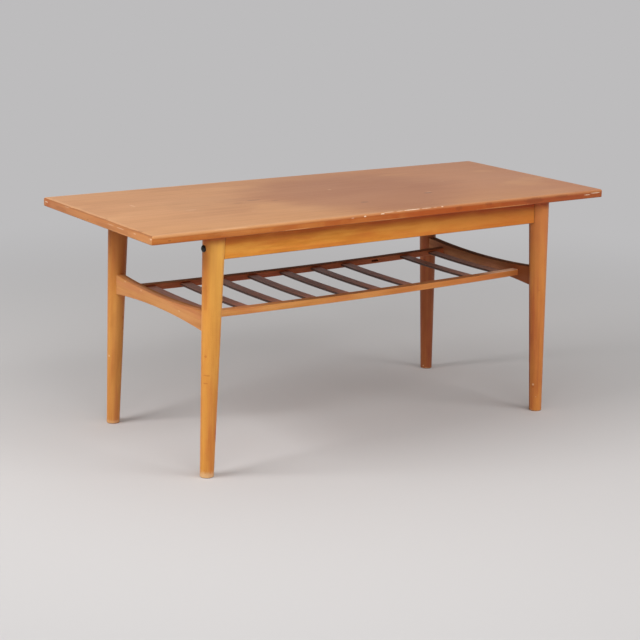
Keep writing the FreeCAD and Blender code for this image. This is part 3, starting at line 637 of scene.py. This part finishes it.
material, place = new_finish("top_back_veneer")
plank = grain_place(place, "X", 65)
colour, relief, tone = teak(plank, BACK_STAIN, BACK_PITH, BACK_RING_GAP, 0.2)
dress("top_back_veneer", surfaced(material, place, colour, 0.6, relief))


# Lippings: solid teak strips glued round the top, mitred at the corners and rounded over along
# the upper edge. That edge is painted with light and shade, lightest on the front strip and
# darkest on the left one, and it has lost chips of finish where it was knocked.

LIPPING_STAINS = {
    "front_lipping": ((208, 128, 60), (190, 105, 40), (156, 72, 30)),
    "back_lipping": ((200, 130, 80), (184, 114, 66), (146, 84, 48)),
    "left_lipping": ((208, 146, 92), (194, 128, 76), (166, 98, 56)),
    "right_lipping": ((204, 126, 72), (188, 110, 60), (150, 82, 44)),
}
LIPPING_PITH = (0.02, 0.5)
LIPPING_RING_GAP = 0.005
UPPER_FACE = ((226, 172, 126), (216, 160, 114))
REDDER = (172, 64, 10)
REDDENS = (-0.35, 0.0)
BROWNED = (156, 84, 54)
SMUDGED = (116, 58, 30)
LOWER_LINE = 0.0022
LOWER_WEAR = (232, 162, 100)
CHIPPED = (246, 220, 190)
LIPPING_MARK_REACH = 0.004

# The rounded edge of each strip: its colour of painted light and shade, which begins at the lowest
# of three depths below the top, is full at the middle one, and gives way to the upper face at the
# highest.
ARRIS_LIGHT_AND_SHADE = {"front_lipping": (226, 166, 108), "back_lipping": (170, 128, 98),
               "left_lipping": (156, 102, 64), "right_lipping": (176, 128, 98)}
ARRIS_HIGH = 0.0001
ARRIS_MIDDLE = {"front_lipping": 0.003, "back_lipping": 0.0016,
                "left_lipping": 0.0006, "right_lipping": 0.0016}
ARRIS_LOW = {"front_lipping": 0.0075, "back_lipping": 0.0042,
             "left_lipping": 0.0042, "right_lipping": 0.0042}
ARRIS_WANDER = 0.003
ARRIS_RAGGED = 0.001
ARRIS_STRONGER_LEFT = (0.1, -0.45)

# Where a strip turns brown towards one end: from which place along it to which, and how far.
BROWNED_ENDS = {"front_lipping": (0.2, 0.42, 0.44), "back_lipping": (0.2, 0.42, 0.44),
                "left_lipping": (0, 0.25, 0.4)}
# Where the finish has kept its red: place along the strip, half length, and how far.
RED_STRETCHES = {"front_lipping": [(0.12, 0.12, 0.5), (-0.29, 0.04, 0.15)],
                 "left_lipping": [(0.224, 0.016, 0.35), (-0.02, 0.06, 0.1)]}

# Brown smudges on the faces: place along the strip, half length, half height, depth below the
# top, and strength. Rubbed stretches near the lower edge and knocks are written in the same way.
SMUDGES = {
    "front_lipping": [(-0.46, 0.022, 0.005, 0.01, 0.14), (-0.3, 0.025, 0.004, 0.011, 0.12),
                      (0.165, 0.01, 0.005, 0.009, 0.3), (0.25, 0.012, 0.004, 0.006, 0.25),
                      (0.385, 0.03, 0.007, 0.009, 0.33), (0.47, 0.02, 0.004, 0.006, 0.25),
                      (-0.56, 0.004, 0.002, 0.012, 0.35)],
    "left_lipping": [(0.16, 0.03, 0.004, 0.011, 0.2), (0.03, 0.004, 0.002, 0.013, 0.3),
                     (-0.05, 0.05, 0.004, 0.012, 0.15)],
}
LOWER_EDGE = {
    "front_lipping": [(-0.262, 0.035, 0.0009, 0.0163, 0.7), (-0.41, 0.045, 0.007, 0.01, 0.14),
                      (-0.03, 0.05, 0.0008, 0.0165, 0.35), (0.3, 0.08, 0.001, 0.0163, 0.45)],
    "left_lipping": [(-0.13, 0.03, 0.0009, 0.0163, 0.45), (-0.21, 0.06, 0.007, 0.009, 0.3)],
}
KNOCKS = {
    "front_lipping": [(-0.5992, 0.0012, 0.003, 0.008, 0.4), (-0.122, 0.004, 0.0011, 0.0055, 0.45),
                      (-0.09, 0.0035, 0.0014, 0.0045, 1), (-0.044, 0.005, 0.0011, 0.003, 1),
                      (-0.026, 0.016, 0.0007, 0.0012, 0.6), (0.004, 0.012, 0.0007, 0.0012, 0.5),
                      (0.037, 0.026, 0.001, 0.001, 0.85), (0.075, 0.016, 0.0008, 0.001, 0.6),
                      (0.099, 0.006, 0.0007, 0.001, 0.4), (0.119, 0.003, 0.0012, 0.001, 0.95),
                      (0.55, 0.01, 0.001, 0.009, 0.65), (0.576, 0.016, 0.0011, 0.0065, 0.65),
                      (-0.42, 0.05, 0.0007, 0.001, 0.25)],
    "back_lipping": [(-0.31, 0.004, 0.0015, 0.001, 0.6), (0.12, 0.012, 0.0009, 0.002, 0.5)],
    "left_lipping": [(-0.2455, 0.004, 0.0018, 0.0065, 0.4), (0.232, 0.008, 0.0016, 0.0075, 0.5),
                     (-0.118, 0.016, 0.0009, 0.0065, 0.4), (-0.075, 0.014, 0.001, 0.006, 0.25),
                     (-0.18, 0.005, 0.0014, 0.0065, 0.35), (0.13, 0.012, 0.0008, 0.003, 0.25)],
    "right_lipping": [(-0.2, 0.005, 0.0015, 0.002, 0.6), (0.14, 0.012, 0.0009, 0.001, 0.5)],
}

for number, (name, stain) in enumerate(LIPPING_STAINS.items()):
    low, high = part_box(name)
    lengthwise = high.x - low.x > high.y - low.y
    axis = "X" if lengthwise else "Y"
    outer_edge = max(low.y, high.y, key=abs) if lengthwise else max(low.x, high.x, key=abs)
    material, place = new_finish(name)
    plank = grain_place(place, axis, 71 + number)
    colour, relief, tone = teak(plank, stain, LIPPING_PITH, LIPPING_RING_GAP, 0.15)
    patch = place.noise((14, 14, 14), 3, 0.6)
    length = place.along(axis)
    if lengthwise:
        redder = length.rise(*REDDENS) * 0.35 + patch.rise(0.42, 0.64) * 0.3
        colour = redder.mix(colour, paint(REDDER))
    if name in BROWNED_ENDS:
        begins, ends, share = BROWNED_ENDS[name]
        colour = (length.rise(begins, ends) * share).mix(colour, paint(BROWNED))
    for centre, half_length, share in RED_STRETCHES.get(name, []):
        kept = (abs(length - centre) / half_length + patch - 0.5).rise(1, 0.4) * share
        colour = kept.mix(colour, paint(REDDER))
    ragged = place.noise((230, 230, 230), 3, 0.6)
    height = place.along("Z")
    uneven = height + (patch - 0.5) * ARRIS_WANDER + (ragged - 0.5) * ARRIS_RAGGED
    # painted light and shade on the rounded upper edge, stronger towards the left end
    arris = uneven.rise(high.z - ARRIS_LOW[name], high.z - ARRIS_MIDDLE[name])
    arris = arris * (place.along("X").rise(*ARRIS_STRONGER_LEFT) * 0.36 + 0.34)
    colour = arris.mix(colour, paint(ARRIS_LIGHT_AND_SHADE[name]))
    upper = tone.rise(0.38, 0.6).mix(paint(UPPER_FACE[0]), paint(UPPER_FACE[1]))
    upper = weathered(place, upper, tone)
    colour = uneven.rise(high.z - ARRIS_MIDDLE[name], high.z - ARRIS_HIGH).mix(colour, upper)
    colour = (height.rise(low.z + LOWER_LINE, low.z) * 0.6).mix(colour, paint(SMUDGED))
    kinds = ((SMUDGES, SMUDGED, 0), (LOWER_EDGE, LOWER_WEAR, 0), (KNOCKS, CHIPPED, 0.3))
    for marks, tint, hollow in kinds:
        for along, half_length, half_height, depth, share in marks.get(name, []):
            beside = (along, outer_edge) if lengthwise else (outer_edge, along)
            half = (half_length, LIPPING_MARK_REACH) if lengthwise else (LIPPING_MARK_REACH, half_length)
            mark = place.spot((*beside, high.z - depth), (*half, half_height), ragged)
            colour = (mark * share).mix(colour, paint(tint))
            relief = relief - mark * hollow
    dress(name, surfaced(material, place, colour, 0.4 + tone * 0.14, relief, DENT_DEPTH))


# Floor: one wide sheet of pale studio floor. Near the table it takes the lamps' light and the
# shadow of the table, and further out it runs into the even grey of the backdrop.

FLOOR_RADIUS = 60
FLOOR_PALE = (211, 208, 207)
PALE_REACH = (0.65, 2.6)
BACKDROP = (189, 188, 189)

bpy.ops.mesh.primitive_circle_add(vertices=128, radius=FLOOR_RADIUS, fill_type="NGON")
floor = bpy.context.object
floor.name = "studio_floor"
material, place = new_finish("studio_floor")
across = place.along("X")
along = place.along("Y")
reach = (across * across + along * along) ** 0.5
diffuse = place.node("ShaderNodeBsdfDiffuse", {}, {"Color": paint(FLOOR_PALE)})
glow = place.node("ShaderNodeEmission", {}, {"Color": paint(BACKDROP), "Strength": 1})
surface = place.node("ShaderNodeMixShader", {}, {0: reach.rise(*PALE_REACH), 1: diffuse, 2: glow})
place.node("ShaderNodeOutputMaterial", {}, {"Surface": surface})
floor.data.materials.append(material)
floor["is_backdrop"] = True


# Light: a strong softbox to the left of the table, weaker ones round its front, and an even grey
# room that is brightest overhead. The left one is kept out of the gloss, so the top has no glare.

# Each softbox: its place, its width, its power in watts, and whether the gloss shows it.
SOFTBOXES = {
    "left_softbox": ((-2.9, 0.3, 2.1), 1.6, 65, False),
    "front_left_softbox": ((-1.9, -2.1, 2.6), 1.6, 13, True),
    "front_softbox": ((-0.5, -2.7, 2.6), 1.6, 21, True),
    "front_right_softbox": ((1.4, -2.4, 2.6), 1.6, 33, True),
    "low_front_softbox": ((-1.0, -3.0, 1.2), 1.2, 9, True),
}
AIM = Vector((0, 0, 0.4))
ROOM_LIGHT = 0.55

for name, (place, width, power, glossy) in SOFTBOXES.items():
    lamp = bpy.data.lights.new(name, "AREA")
    lamp.shape = "SQUARE"
    lamp.size = width
    lamp.energy = power
    holder = bpy.data.objects.new(name, lamp)
    holder.location = place
    holder.rotation_euler = (AIM - Vector(place)).to_track_quat("-Z", "Y").to_euler()
    holder.visible_camera = False
    holder.visible_glossy = glossy
    bpy.context.scene.collection.objects.link(holder)

world = bpy.data.worlds.new("studio_room")
bpy.context.scene.world = world
world.use_nodes = True
world.node_tree.nodes.clear()
start = Value(world.node_tree, None)
camera_ray = start.node("ShaderNodeLightPath", {}, {}, "Is Camera Ray")
glossy_ray = start.node("ShaderNodeLightPath", {}, {}, "Is Glossy Ray")
upward = start.node("ShaderNodeTexCoord", {}, {}, "Generated").along("Z")
strength = upward.rise(0.3, 0.95) * ROOM_LIGHT
light = start.node("ShaderNodeBackground", {}, {"Color": (1, 1, 1, 1), "Strength": strength})
seen = start.node("ShaderNodeBackground", {}, {"Color": paint(BACKDROP), "Strength": 1})
surface = start.node("ShaderNodeMixShader", {}, {0: camera_ray.most(glossy_ray), 1: light, 2: seen})
start.node("ShaderNodeOutputWorld", {}, {"Surface": surface})


# Camera: at chest height in front of the left end, looking down at the table through a long lens.
# Its angles are in degrees. The focal length and the optical centre are in the photo's pixels.

CAMERA_PLACE = (-2.04435, -2.95477, 1.14347)
CAMERA_YAW = 35.134
CAMERA_PITCH = 14.259
CAMERA_ROLL = 1.339
SENSOR_WIDTH = 36
PHOTO_WIDTH = 640
FOCAL_PIXELS = 1597.81
OPTICAL_CENTRE = (343.08, 321.08)

lens = bpy.data.cameras.new("camera")
lens.sensor_width = SENSOR_WIDTH
lens.lens = SENSOR_WIDTH * FOCAL_PIXELS / PHOTO_WIDTH
lens.shift_x = (PHOTO_WIDTH / 2 - OPTICAL_CENTRE[0]) / PHOTO_WIDTH
lens.shift_y = (OPTICAL_CENTRE[1] - PHOTO_WIDTH / 2) / PHOTO_WIDTH
camera = bpy.data.objects.new("camera", lens)
turn = Matrix.Rotation(math.radians(-CAMERA_YAW), 4, "Z")
tilt = Matrix.Rotation(math.radians(90 - CAMERA_PITCH), 4, "X")
roll = Matrix.Rotation(math.radians(CAMERA_ROLL), 4, "Z")
camera.matrix_world = Matrix.Translation(CAMERA_PLACE) @ turn @ tilt @ roll
bpy.context.scene.collection.objects.link(camera)
bpy.context.scene.camera = camera
bpy.context.scene.view_settings.view_transform = "Standard"

low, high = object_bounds()
